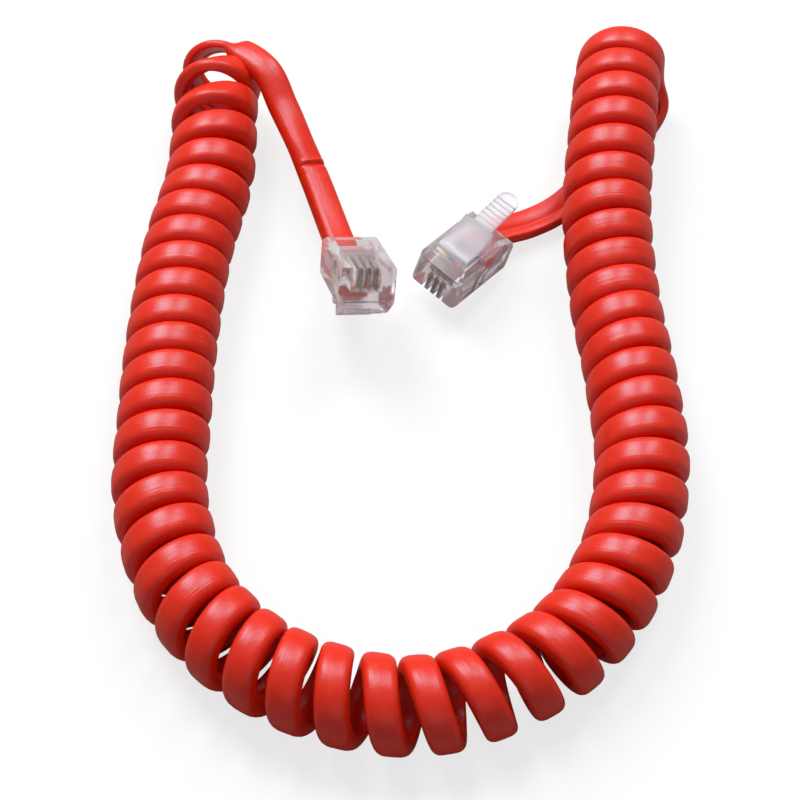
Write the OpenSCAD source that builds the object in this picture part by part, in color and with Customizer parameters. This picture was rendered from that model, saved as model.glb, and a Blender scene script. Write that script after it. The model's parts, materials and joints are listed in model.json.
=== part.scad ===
// Coiled handset cord with a four-contact modular plug on each end.
// +Z is up. The origin is the middle of the bottom of the cord as it lies.

/* [Jacket] */
// Width of the flat jacket
cord_w = 3.6; // [3.4:0.05:3.65]
// Thickness of the flat jacket
cord_t = 2.2; // [2:0.05:2.3]
// Width of the flat crown along the rounded outer face
crown_w = 2; // [1.6:0.1:2.4]
// Bevel along the edges of the flat inner face
edge_bevel = 0.4; // [0.2:0.1:0.6]

/* [Curls] */
// Outer diameter of a curl
curl_d = 12; // [11.6:0.1:12.2]
// Curls between two points of the coil's route
curls_per_point = 3; // [2:1:3]
// Depth of the flats that the curls rest on
rest_cut = 0.4; // [0.3:0.05:0.5]

/* [Plug housing] */
// Length from the cord's mouth to the nose
plug_l = 11.3; // [11:0.1:12.5]
// Width across the sides
plug_w = 7.65; // [7.5:0.05:8]
// Height from the contact face to the latch face
plug_h = 6.6; // [6.4:0.1:7]
// Radius of the long corners beside the contact face
corner_r = 0.7; // [0.4:0.1:0.9]
// Width of the bevels beside the latch face
bevel_w = 0.9; // [0.6:0.1:0.9]
// Height of the bevels beside the latch face
bevel_h = 1.8; // [1:0.1:2]
// Radius of the upright corners of the nose
nose_r = 0.9; // [0.5:0.1:1.2]
// Height of the housing at the cord's mouth
rear_h = 5.4; // [5.3:0.1:5.8]
// Length of the slope from the mouth up to the latch face
rear_slope = 4; // [3:0.1:4.5]
// Height of the upright part of the nose
nose_flat = 4.2; // [3.9:0.1:4.4]
// Setback of the sloping part of the nose
nose_slope = 0.8; // [0.6:0.1:1.2]
// Depth of the jacket's middle below the contact face
cord_depth = 3; // [2.85:0.05:3.05]
// Gap from the jacket's end to the conductors' clamp window
jacket_gap = 0.1; // [0.05:0.05:0.2]
// Clearance round the jacket
cord_clear = 0.15; // [0.1:0.01:0.2]
// Widening of the cord's mouth on each side
mouth_flare = 0.5; // [0.3:0.1:0.7]
// Depth of the widened mouth
mouth_depth = 0.8; // [0.5:0.1:1]

/* [Contacts and conductors] */
// Distance between two contacts
contact_pitch = 1.02; // [1:0.01:1.1]
// Thickness of a contact blade
blade_t = 0.35; // [0.3:0.01:0.4]
// Length of a contact blade
blade_l = 4.4; // [4:0.1:4.5]
// Depth of a blade's edge below the contact face
blade_recess = 0.5; // [0.4:0.05:0.6]
// Gap from the nose to a blade
blade_setback = 0.3; // [0.2:0.05:0.4]
// Clearance on each side of a blade in its slot
blade_clear = 0.05; // [0.04:0.01:0.08]
// Depth to which a blade's teeth pierce a conductor
tooth_bite = 0.45; // [0.3:0.05:0.6]
// Length of each tooth along the conductor
tooth_l = 0.5; // [0.4:0.05:0.7]
// Diameter of a conductor over its insulation
wire_d = 0.95; // [0.85:0.01:0.98]
// Depth of the conductors' middles below the contact face
wire_depth = 3.1; // [2.9:0.05:3.2]
// Gap from the nose to the conductors' ends
wire_setback = 1.2; // [1:0.1:1.4]
// Clearance round the row of conductors
wire_clear = 0.08; // [0.05:0.01:0.1]

/* [Clamp bars] */
// Distance from the mouth to the jacket's clamp window
clamp_x = 1.1; // [1:0.1:1.2]
// Width of both clamp windows
clamp_w = 4.7; // [4.6:0.1:5]
// Depth to which the jacket's bar presses into the jacket
clamp_bite = 0.2; // [0.1:0.05:0.3]
// Length of the conductors' clamp window
wire_bar_l = 1; // [0.9:0.05:1.1]
// Wall between the two clamp windows
bar_wall = 0.8; // [0.7:0.05:0.9]
// Wall between the conductors' clamp window and the contact slots
slot_wall = 0.55; // [0.5:0.05:0.65]
// Depth to which the conductors' bar presses into them
wire_bar_bite = 0.15; // [0.1:0.01:0.2]
// Clearance round a clamp bar in its window
bar_clear = 0.1; // [0.05:0.01:0.15]
// Depth of both bars below the contact face
bar_recess = 0.6; // [0.4:0.1:0.8]

/* [Latch] */
// Distance from the nose to the latch's hinge
latch_setback = 1.9; // [1.8:0.1:2.2]
// Radius of the latch's knuckle
knuckle_r = 0.45; // [0.4:0.01:0.5]
// Clearance round the knuckle in its groove
knuckle_clear = 0.05; // [0.02:0.01:0.08]
// Width of the latch beside its locking block
latch_w = 4.8; // [4.4:0.1:5.2]
// Width of the finger lever
lever_w = 3; // [2.6:0.1:3.4]
// Thickness of the latch's arm
latch_t = 0.7; // [0.6:0.05:0.75]
// Length from the hinge to the lever's tip
lever_l = 12.6; // [12:0.1:14]
// Angle at which the free latch stands off the housing
latch_rise = 14; // [13:0.5:16]
// Distance from the hinge to the foot of the locking block
block_foot = 1.5; // [1.2:0.1:1.8]
// Distance from the hinge to the block's locking face
block_end = 5.3; // [4.8:0.1:5.8]
// Height of the locking block over the arm
block_h = 1; // [0.8:0.1:1.2]
// Number of grip ribs on the lever
ribs = 7; // [5:1:8]
// Distance between two grip ribs
rib_pitch = 0.8; // [0.7:0.05:0.85]
// Width of a grip rib
rib_w = 0.35; // [0.3:0.05:0.4]
// Height of a grip rib
rib_h = 0.2; // [0.1:0.05:0.3]
// Width of the relief under the latch, past the latch on each side
relief_side = 0.2; // [0.15:0.05:0.3]
// Length of the relief under the latch
relief_l = 6; // [5.5:0.1:6.5]

/* [Hidden] */
$fn = 32;

jacket_red = [0.85, 0.14, 0.1];
clear_plastic = [0.86, 0.84, 0.86, 0.6];
contact_gold = [0.83, 0.66, 0.3];
wire_yellow = [0.93, 0.78, 0.1];
wire_green = [0.05, 0.5, 0.45];
wire_red = [0.8, 0.12, 0.12];
wire_black = [0.12, 0.12, 0.14];

// Past this, a cutting shape only reaches through open air.
over = 5;
up = [0, 0, 1];

// The coil's axis, a point for every few curls, from one point before the first curl to one
// point past the last: across, away, and lift above the height at which a curl rests.
coil_route = [
    [-23.5, 60, -2],
    [-26.2, 47.3, 0], [-26.6, 32, 0], [-29, 19, 0], [-30.2, 6, 0],
    [-30.6, -7, 0], [-30.2, -21, 0], [-25.1, -34.6, 0], [-13.5, -44.3, 0],
    [2.5, -47.5, 0], [17.5, -41.1, 0], [26.2, -29.5, 0], [29.5, -15.7, 0],
    [29, -2.3, 0], [27.5, 10.9, 0.1], [27, 23.9, 1.9], [28.3, 36.8, 3.1],
    [30.2, 49.7, 2.2],
    [34.5, 62.2, 0]
];

// Each free lead, from the coil to its plug: a point, and the way its rounded face looks there.
lead_a_route = [
    [[-18.1, 47.3, 9.2], [4, 0, 6]],
    [[-16.2, 42.5, 7.5], [4, 0, 6]],
    [[-14, 36.6, 6.3], [4, 0, 6]],
    [[-12, 30.9, 5.3], [3, 0, 7]]
];
lead_b_route = [
    [[35, 46.5, 2.2], [5, 0, -6]],
    [[31.5, 41, 1.25], [0, 0, -1]],
    [[26.5, 35, 1.2], [0, 0, -1]],
    [[21.5, 29.5, 1.2], [0, 0, -1]],
    [[17, 26.5, 1.4], [0, 0, -1]]
];

// How each plug lies: its turns about X, Y and Z, and where the middle of its mouth's lower
// edge stands on the ground plan.
plug_a_turn = [167, -31, -74.1];
plug_a_plan = [-7.2, 18];
plug_b_turn = [-8, -13, 231];
plug_b_plan = [10.4, 22.4];

curl_r = curl_d / 2;
axis_r = curl_r - cord_t / 2;
rest_z = curl_r - rest_cut;
coil_first = -1;
coil_last = curls_per_point * (len(coil_route) - 3) + 0.25;
rings_per_curl = 8;
rings_per_span = 2;

contact_top = plug_l - blade_setback - blade_l;
slot_depth = wire_depth - wire_d / 2 + tooth_bite;
wire_end = plug_l - wire_setback;
wire_bar_x = contact_top - blade_clear - slot_wall - wire_bar_l;
clamp_l = wire_bar_x - bar_wall - clamp_x;
jacket_in = wire_bar_x - jacket_gap;
hinge_x = plug_l - latch_setback;
groove_r = knuckle_r + knuckle_clear;
lever_r = lever_w / 2;

function unit(v) = v / norm(v);

function turn_x(p, a) = [p[0], p[1] * cos(a) - p[2] * sin(a), p[1] * sin(a) + p[2] * cos(a)];
function turn_y(p, a) = [p[0] * cos(a) + p[2] * sin(a), p[1], p[2] * cos(a) - p[0] * sin(a)];
function turn_z(p, a) = [p[0] * cos(a) - p[1] * sin(a), p[0] * sin(a) + p[1] * cos(a), p[2]];
function turned(p, turn) = turn_z(turn_y(turn_x(p, turn[0]), turn[1]), turn[2]);

// Plug A lies on the round tip of its lever, and plug B on the lower edge of its mouth.
lever_rim = [
    for (a = [90 : 11.25 : 270])
        [hinge_x, 0, plug_h] + turn_y([lever_r - lever_l + lever_r * cos(a),
            lever_r * sin(a), latch_t / 2], latch_rise)
];
plug_a_at = [
    plug_a_plan[0], plug_a_plan[1],
    -min([for (p = lever_rim) turned(p, plug_a_turn)[2]])
];
plug_b_nose_z = turned([1, 0, 0], plug_b_turn)[2];
plug_b_at = [
    plug_b_plan[0], plug_b_plan[1],
    corner_r * sqrt(1 - plug_b_nose_z * plug_b_nose_z) - min([
        for (y = [corner_r - plug_w / 2, plug_w / 2 - corner_r])
            turned([0, y, corner_r], plug_b_turn)[2]
    ])
];

// A smooth curve through a list of points: its place and its slope.
function curve(a, b, c, d, u) =
    0.5 * (2 * b + (c - a) * u + (2 * a - 5 * b + 4 * c - d) * u * u
        + (3 * b - a - 3 * c + d) * u * u * u);
function curve_slope(a, b, c, d, u) =
    0.5 * (c - a + 2 * (2 * a - 5 * b + 4 * c - d) * u + 3 * (3 * b - a - 3 * c + d) * u * u);
function span_of(points, s) = min(max(floor(s), 1), len(points) - 3);
function along(points, s) =
    let (i = span_of(points, s))
    curve(points[i - 1], points[i], points[i + 1], points[i + 2], s - i);
function slope_at(points, s) =
    let (i = span_of(points, s))
    curve_slope(points[i - 1], points[i], points[i + 1], points[i + 2], s - i);

// The jacket's section, across it and out from its middle, with a flat inner face.
curl_section = [
    [-cord_w / 2 + edge_bevel, -cord_t / 2], [cord_w / 2 - edge_bevel, -cord_t / 2],
    [cord_w / 2, -cord_t / 2 + edge_bevel], [crown_w / 2, cord_t / 2],
    [-crown_w / 2, cord_t / 2], [-cord_w / 2, -cord_t / 2 + edge_bevel]
];
lead_section = [
    [-cord_w / 2 + edge_bevel, -cord_t / 2], [cord_w / 2 - edge_bevel, -cord_t / 2],
    [cord_w / 2, -cord_t / 2 + edge_bevel], [cord_w / 2 - edge_bevel / 2, cord_t / 4],
    [crown_w / 2, cord_t / 2], [-crown_w / 2, cord_t / 2],
    [-cord_w / 2 + edge_bevel / 2, cord_t / 4], [-cord_w / 2, -cord_t / 2 + edge_bevel]
];

function ring(section, place, across, out) =
    [for (p = section) place + p[0] * across + p[1] * out];

// The coil at a curl's number, whole at the top of each curl.
coil_points = [for (p = coil_route) p + [0, 0, rest_z]];
function coil_step(curl) = curl / curls_per_point + 1;
function coil_heading(curl) = unit(slope_at(coil_points, coil_step(curl)));
function coil_out(curl) =
    let (ahead = coil_heading(curl), side = unit(cross(ahead, up)), top = cross(side, ahead))
    cos(360 * curl) * top + sin(360 * curl) * side;
function coil_place(curl) = along(coil_points, coil_step(curl)) + axis_r * coil_out(curl);
function coil_tangent(curl) = unit(coil_place(curl + 0.01) - coil_place(curl - 0.01));
function coil_ring(curl) =
    ring(curl_section, coil_place(curl), coil_heading(curl), coil_out(curl));
function square_ring(section, place, tangent, out) =
    let (across = unit(cross(out, tangent)))
    ring(section, place, across, cross(tangent, across));

// Both ends of the coil's tube run straight for one width of the jacket.
first_tangent = coil_tangent(coil_first);
last_tangent = coil_tangent(coil_last);
coil_start = coil_place(coil_first) - cord_w * first_tangent;
coil_end = coil_place(coil_last) + cord_w * last_tangent;
coil_rings = concat(
    [
        square_ring(curl_section, coil_start, first_tangent, coil_out(coil_first)),
        square_ring(curl_section, coil_place(coil_first), first_tangent, coil_out(coil_first))
    ],
    [for (k = [1 : (coil_last - coil_first) * rings_per_curl - 1])
        coil_ring(coil_first + k / rings_per_curl)],
    [
        square_ring(curl_section, coil_place(coil_last), last_tangent, coil_out(coil_last)),
        square_ring(curl_section, coil_end, last_tangent, coil_out(coil_last))
    ]
);

// The least distance between the rings of a curl and those of the next one.
coil_gap = min([
    for (k = [1 : len(coil_rings) - rings_per_curl - 2])
        for (n = [rings_per_curl - 1 : rings_per_curl + 1])
            for (p = coil_rings[k])
                for (q = coil_rings[min(k + n, len(coil_rings) - 1)])
                    norm(p - q)
]);
echo(coil_gap = coil_gap);

function plug_point(at, turn, p) = at + turned(p, turn);

// A lead's rings, from the coil's end to the end of the jacket in the plug.
function lead_rings(start, heading, out, route, at, turn) =
    let (
        nose = turned([1, 0, 0], turn),
        contact_side = turned([0, 0, -1], turn),
        mouth = plug_point(at, turn, [-cord_w, 0, cord_depth]),
        inner = plug_point(at, turn, [jacket_in, 0, cord_depth]),
        places = concat([start - heading * cord_w, start], [for (r = route) r[0]],
            [mouth, inner, inner + nose * cord_w]),
        outs = concat([out, out], [for (r = route) unit(r[1])],
            [contact_side, contact_side, contact_side]),
        last = len(places) - 2
    )
    concat(
        [square_ring(lead_section, start, heading, out)],
        [for (k = [1 : (last - 2) * rings_per_span - 1])
            let (s = 1 + k / rings_per_span)
            square_ring(lead_section, along(places, s), unit(slope_at(places, s)),
                unit(along(outs, s)))],
        [square_ring(lead_section, mouth, nose, contact_side)],
        [square_ring(lead_section, inner, nose, contact_side)]
    );

module skin(rings) {
    sides = len(rings[0]);
    last = len(rings) - 1;
    walls = [
        for (i = [0 : last - 1])
            for (j = [0 : sides - 1])
                let (a = i * sides + j, b = i * sides + (j + 1) % sides)
                each [[a, b + sides, b], [a, a + sides, b + sides]]
    ];
    caps = [
        for (j = [1 : sides - 2])
            each [[0, j, j + 1], [last * sides, last * sides + j + 1, last * sides + j]]
    ];
    polyhedron([for (r = rings) each r], concat(walls, caps), convexity = 10);
}

module cord_coil() {
    reach = 200;
    color(jacket_red)
        difference() {
            skin(coil_rings);
            translate([-reach / 2, -reach / 2, -over])
                cube([reach, reach, over]);
        }
}

module lead_a() {
    color(jacket_red)
        skin(lead_rings(coil_start, -first_tangent, coil_out(coil_first), lead_a_route,
            plug_a_at, plug_a_turn));
}

module lead_b() {
    color(jacket_red)
        skin(lead_rings(coil_end, last_tangent, coil_out(coil_last), lead_b_route,
            plug_b_at, plug_b_turn));
}

// A plug's own frame: +X to the nose from the cord's mouth, +Z to the latch face from the
// contact face.
module rounded_bar() {
    rotate([90, 0, 90])
        linear_extrude(plug_l) {
            translate([-plug_w / 2 + corner_r, 0])
                square([plug_w - 2 * corner_r, plug_h / 2]);
            polygon([
                [-plug_w / 2, corner_r], [plug_w / 2, corner_r],
                [plug_w / 2, plug_h - bevel_h], [plug_w / 2 - bevel_w, plug_h],
                [bevel_w - plug_w / 2, plug_h], [-plug_w / 2, plug_h - bevel_h]
            ]);
            for (y = [-1, 1])
                translate([y * (plug_w / 2 - corner_r), corner_r])
                    circle(corner_r);
        }
}

// The housing's outline seen from the contact side, round at the nose's corners.
module nose_plan() {
    linear_extrude(plug_h) {
        translate([0, -plug_w / 2])
            square([plug_l - nose_r, plug_w]);
        translate([0, nose_r - plug_w / 2])
            square([plug_l, plug_w - 2 * nose_r]);
        for (y = [-1, 1])
            translate([plug_l - nose_r, y * (plug_w / 2 - nose_r)])
                circle(nose_r);
    }
}

// A plate cut to a side outline and centred across the plug.
module side_plate(outline, width) {
    translate([0, width / 2, 0])
        rotate([90, 0, 0])
            linear_extrude(width)
                polygon(outline);
}

module cord_mouth() {
    half_w = cord_w / 2 + cord_clear;
    half_t = cord_t / 2 + cord_clear;
    reach = mouth_flare * (1 + 1 / mouth_depth);
    translate([0, -half_w, cord_depth - half_t])
        cube([jacket_in + cord_clear, 2 * half_w, 2 * half_t]);
    intersection() {
        side_plate([
            [-1, cord_depth - half_t - reach], [mouth_depth, cord_depth - half_t],
            [mouth_depth, cord_depth + half_t], [-1, cord_depth + half_t + reach]
        ], plug_w);
        linear_extrude(plug_h)
            polygon([
                [-1, -half_w - reach], [mouth_depth, -half_w],
                [mouth_depth, half_w], [-1, half_w + reach]
            ]);
    }
}

module wire_channel() {
    width = 3 * contact_pitch + wire_d + 2 * wire_clear;
    height = wire_d + 2 * wire_clear;
    translate([jacket_in, -width / 2, wire_depth - height / 2])
        cube([wire_end + wire_clear - jacket_in, width, height]);
}

module contact_slots() {
    width = blade_t + 2 * blade_clear;
    for (slot = [1 : 4])
        translate([contact_top - blade_clear, contact_y(slot) - width / 2, -over])
            cube([plug_l, width, over + slot_depth + blade_clear]);
}

module plug_body() {
    slope_run = nose_slope * over / (plug_h - nose_flat);
    rear_rise = (plug_h - rear_h) / rear_slope;
    color(clear_plastic)
        difference() {
            intersection() {
                rounded_bar();
                nose_plan();
            }
            side_plate([
                [-1, rear_h - rear_rise], [rear_slope + 1, plug_h + rear_rise],
                [-1, plug_h + rear_rise]
            ], plug_w + over);
            side_plate([
                [plug_l, nose_flat], [plug_l + over, nose_flat],
                [plug_l + over, plug_h + over],
                [plug_l - nose_slope - slope_run, plug_h + over]
            ], plug_w + over);
            cord_mouth();
            wire_channel();
            contact_slots();
            translate([clamp_x, -clamp_w / 2, -over])
                cube([clamp_l, clamp_w, over + cord_depth]);
            translate([wire_bar_x, -clamp_w / 2, -over])
                cube([wire_bar_l, clamp_w, over + wire_depth]);
            translate([hinge_x, latch_w / 2 + relief_side, plug_h])
                rotate([90, 0, 0])
                    cylinder(h = latch_w + 2 * relief_side, r = groove_r);
            translate([hinge_x - relief_l, -latch_w / 2 - relief_side, plug_h - knuckle_r])
                cube([relief_l, latch_w + 2 * relief_side, over]);
        }
}

// The latch lies back from its hinge along -X before it is raised to its free angle.
module latch() {
    color(clear_plastic)
        translate([hinge_x, 0, plug_h])
            rotate([0, latch_rise, 0]) {
                translate([0, latch_w / 2, 0])
                    rotate([90, 0, 0])
                        cylinder(h = latch_w, r = knuckle_r);
                side_plate([
                    [0, -latch_t / 2], [0, latch_t / 2], [-block_foot, latch_t / 2],
                    [-block_end, latch_t / 2 + block_h], [-block_end, -latch_t / 2]
                ], latch_w);
                translate([-lever_l + lever_r, -lever_r, -latch_t / 2])
                    cube([lever_l - lever_r - block_end / 2, lever_w, latch_t]);
                translate([-lever_l + lever_r, 0, -latch_t / 2])
                    cylinder(h = latch_t, r = lever_r);
                for (k = [0 : ribs - 1])
                    translate([lever_r - lever_l + k * rib_pitch, -lever_r, 0])
                        cube([rib_w, lever_w, latch_t / 2 + rib_h]);
            }
}

module clamp_bar() {
    rear = clamp_x + bar_clear;
    front = clamp_x + clamp_l - bar_clear;
    foot = cord_depth - cord_t / 2 + clamp_bite;
    color(clear_plastic)
        side_plate([
            [rear, bar_recess + clamp_bite], [front, bar_recess],
            [front, foot], [front - clamp_l / 2, foot], [rear, foot - 2 * clamp_bite]
        ], clamp_w - 2 * bar_clear);
}

module wire_bar() {
    foot = wire_depth - wire_d / 2 + wire_bar_bite;
    color(clear_plastic)
        translate([wire_bar_x + bar_clear, -clamp_w / 2 + bar_clear, bar_recess])
            cube([wire_bar_l - 2 * bar_clear, clamp_w - 2 * bar_clear, foot - bar_recess]);
}

// Slots are numbered from the +Y side.
function contact_y(slot) = (2.5 - slot) * contact_pitch;

module contact(slot) {
    top = contact_top;
    nose = top + blade_l;
    shoulder = (wire_depth - wire_d / 2 + blade_recess) / 2;
    heel = wire_depth - wire_d / 2;
    point = heel + tooth_bite;
    color(contact_gold)
        translate([0, contact_y(slot), 0])
            side_plate([
                [top, shoulder], [top + tooth_l, blade_recess], [nose - tooth_l, blade_recess],
                [nose, shoulder], [nose, heel],
                [wire_end - tooth_l, heel], [wire_end - tooth_l, point],
                [wire_end - 2 * tooth_l, heel],
                [top + 2 * tooth_l, heel], [top + 2 * tooth_l, point],
                [top + tooth_l, heel], [top, heel]
            ], blade_t);
}

module wire(slot, tone) {
    color(tone)
        translate([jacket_in, contact_y(slot), wire_depth])
            rotate([0, 90, 0])
                cylinder(h = wire_end - jacket_in, d = wire_d);
}

module at_plug_a() {
    translate(plug_a_at)
        rotate(plug_a_turn)
            children();
}

module at_plug_b() {
    translate(plug_b_at)
        rotate(plug_b_turn)
            children();
}

cord_coil();
lead_a();
lead_b();
at_plug_a() plug_body();  // plug_a_body
at_plug_a() latch();  // plug_a_latch
at_plug_a() clamp_bar();  // plug_a_clamp_bar
at_plug_a() wire_bar();  // plug_a_wire_bar
at_plug_a() contact(1);  // plug_a_contact_1
at_plug_a() contact(2);  // plug_a_contact_2
at_plug_a() contact(3);  // plug_a_contact_3
at_plug_a() contact(4);  // plug_a_contact_4
at_plug_a() wire(1, wire_yellow);  // plug_a_wire_yellow
at_plug_a() wire(2, wire_green);  // plug_a_wire_green
at_plug_a() wire(3, wire_red);  // plug_a_wire_red
at_plug_a() wire(4, wire_black);  // plug_a_wire_black
at_plug_b() plug_body();  // plug_b_body
at_plug_b() latch();  // plug_b_latch
at_plug_b() clamp_bar();  // plug_b_clamp_bar
at_plug_b() wire_bar();  // plug_b_wire_bar
at_plug_b() contact(1);  // plug_b_contact_1
at_plug_b() contact(2);  // plug_b_contact_2
at_plug_b() contact(3);  // plug_b_contact_3
at_plug_b() contact(4);  // plug_b_contact_4
at_plug_b() wire(4, wire_yellow);  // plug_b_wire_yellow
at_plug_b() wire(3, wire_green);  // plug_b_wire_green
at_plug_b() wire(2, wire_red);  // plug_b_wire_red
at_plug_b() wire(1, wire_black);  // plug_b_wire_black
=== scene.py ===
"""Coiled handset cord with two clear modular plugs: shapes, finishes, light and camera."""

import json
import logging
import math
from collections.abc import Sequence
from dataclasses import dataclass, field
from enum import Enum

import bmesh
import bpy
from mathutils import Euler, Matrix, Vector


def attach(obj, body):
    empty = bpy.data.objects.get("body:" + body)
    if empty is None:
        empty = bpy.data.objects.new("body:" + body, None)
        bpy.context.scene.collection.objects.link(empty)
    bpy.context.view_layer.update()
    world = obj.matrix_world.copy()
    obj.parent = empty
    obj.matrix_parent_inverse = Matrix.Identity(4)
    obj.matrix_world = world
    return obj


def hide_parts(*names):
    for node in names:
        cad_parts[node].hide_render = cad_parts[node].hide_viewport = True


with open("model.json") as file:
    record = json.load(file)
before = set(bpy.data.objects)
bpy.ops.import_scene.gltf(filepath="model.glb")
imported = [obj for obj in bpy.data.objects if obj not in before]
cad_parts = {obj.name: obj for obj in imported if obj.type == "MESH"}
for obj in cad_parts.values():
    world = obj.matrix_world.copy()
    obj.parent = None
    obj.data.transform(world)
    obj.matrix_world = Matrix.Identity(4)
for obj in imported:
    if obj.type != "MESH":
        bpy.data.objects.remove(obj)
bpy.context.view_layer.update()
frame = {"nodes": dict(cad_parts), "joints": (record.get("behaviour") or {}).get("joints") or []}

log = logging.getLogger("handset_cord")

MM = 0.001
UP = Vector((0.0, 0.0, 1.0))
Colour = tuple[float, float, float]


class PlugSide(Enum):
    """The two ends of the cord."""

    A = "a"
    B = "b"


class Tone(Enum):
    """The conductors' insulation colours."""

    YELLOW = "yellow"
    GREEN = "green"
    RED = "red"
    BLACK = "black"


# ---- node helpers


class NodeBoard:
    """Places and links nodes in one node tree."""

    # places of a colour Mix node's sockets
    SHARE, LOW_COLOUR, HIGH_COLOUR, MIXED = 0, 6, 7, 2

    def __init__(self, tree: bpy.types.NodeTree) -> None:
        """Starts on an emptied tree.

        Args:
            tree: the material's or group's node tree.
        """
        self.tree = tree
        tree.nodes.clear()

    def add(self, kind: str, **values: object) -> bpy.types.Node:
        """Adds a node and sets its properties.

        Args:
            kind: the node's type name.
            values: properties of the node by name.

        Returns:
            The new node.
        """
        node = self.tree.nodes.new(kind)
        for name, value in values.items():
            setattr(node, name, value)
        return node

    def link(self, source: bpy.types.NodeSocket, target: bpy.types.NodeSocket) -> None:
        """Links an output to an input."""
        self.tree.links.new(source, target)

    def math(
        self,
        operation: str,
        first: bpy.types.NodeSocket | float,
        second: bpy.types.NodeSocket | float = 0.0,
    ) -> bpy.types.NodeSocket:
        """Adds a Math node.

        Args:
            operation: the Math node's operation.
            first: a socket to link or a number.
            second: a socket to link or a number.

        Returns:
            The node's output socket.
        """
        node = self.add("ShaderNodeMath", operation=operation)
        for index, value in enumerate((first, second)):
            if isinstance(value, bpy.types.NodeSocket):
                self.link(value, node.inputs[index])
            else:
                node.inputs[index].default_value = value
        return node.outputs[0]

    def mix(
        self,
        share: bpy.types.NodeSocket,
        low: bpy.types.NodeSocket | Colour,
        high: Colour,
    ) -> bpy.types.NodeSocket:
        """Mixes two colours by a mask.

        Args:
            share: the mask's socket.
            low: a socket to link or a colour, seen where the mask is 0.
            high: colour where the mask is 1.

        Returns:
            The mixed colour's socket.
        """
        node = self.add("ShaderNodeMix", data_type="RGBA")
        self.link(share, node.inputs[self.SHARE])
        if isinstance(low, bpy.types.NodeSocket):
            self.link(low, node.inputs[self.LOW_COLOUR])
        else:
            node.inputs[self.LOW_COLOUR].default_value = (*low, 1.0)
        node.inputs[self.HIGH_COLOUR].default_value = (*high, 1.0)
        return node.outputs[self.MIXED]

    def noise(self, detail: float, scale: float | None = None) -> bpy.types.Node:
        """Adds a Noise texture.

        Args:
            detail: how many finer layers it has.
            scale: its scale, or None where the scale is linked.

        Returns:
            The texture's node.
        """
        node = self.add("ShaderNodeTexNoise")
        node.inputs["Detail"].default_value = detail
        if scale is not None:
            node.inputs["Scale"].default_value = scale
        return node

    def spread(
        self, mask: bpy.types.NodeSocket, low: float, high: float
    ) -> bpy.types.NodeSocket:
        """Maps a 0 to 1 mask to a range.

        Args:
            mask: the mask's socket.
            low: value where the mask is 0.
            high: value where the mask is 1.

        Returns:
            The mapped value's socket.
        """
        node = self.add("ShaderNodeMapRange")
        self.link(mask, node.inputs["Value"])
        node.inputs["To Min"].default_value = low
        node.inputs["To Max"].default_value = high
        return node.outputs["Result"]


def new_group(
    name: str, inputs: Sequence[tuple[str, float]], outputs: Sequence[str]
) -> tuple[NodeBoard, bpy.types.Node, bpy.types.Node]:
    """Starts a shader node group with float sockets.

    Args:
        name: the group's name.
        inputs: each input's name and default value.
        outputs: each output's name.

    Returns:
        The group's board, its input node and its output node.
    """
    tree = bpy.data.node_groups.new(name, "ShaderNodeTree")
    for label, value in inputs:
        socket = tree.interface.new_socket(label, in_out="INPUT", socket_type="NodeSocketFloat")
        socket.default_value = value
    for label in outputs:
        tree.interface.new_socket(label, in_out="OUTPUT", socket_type="NodeSocketFloat")
    board = NodeBoard(tree)
    return board, board.add("NodeGroupInput"), board.add("NodeGroupOutput")


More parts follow.
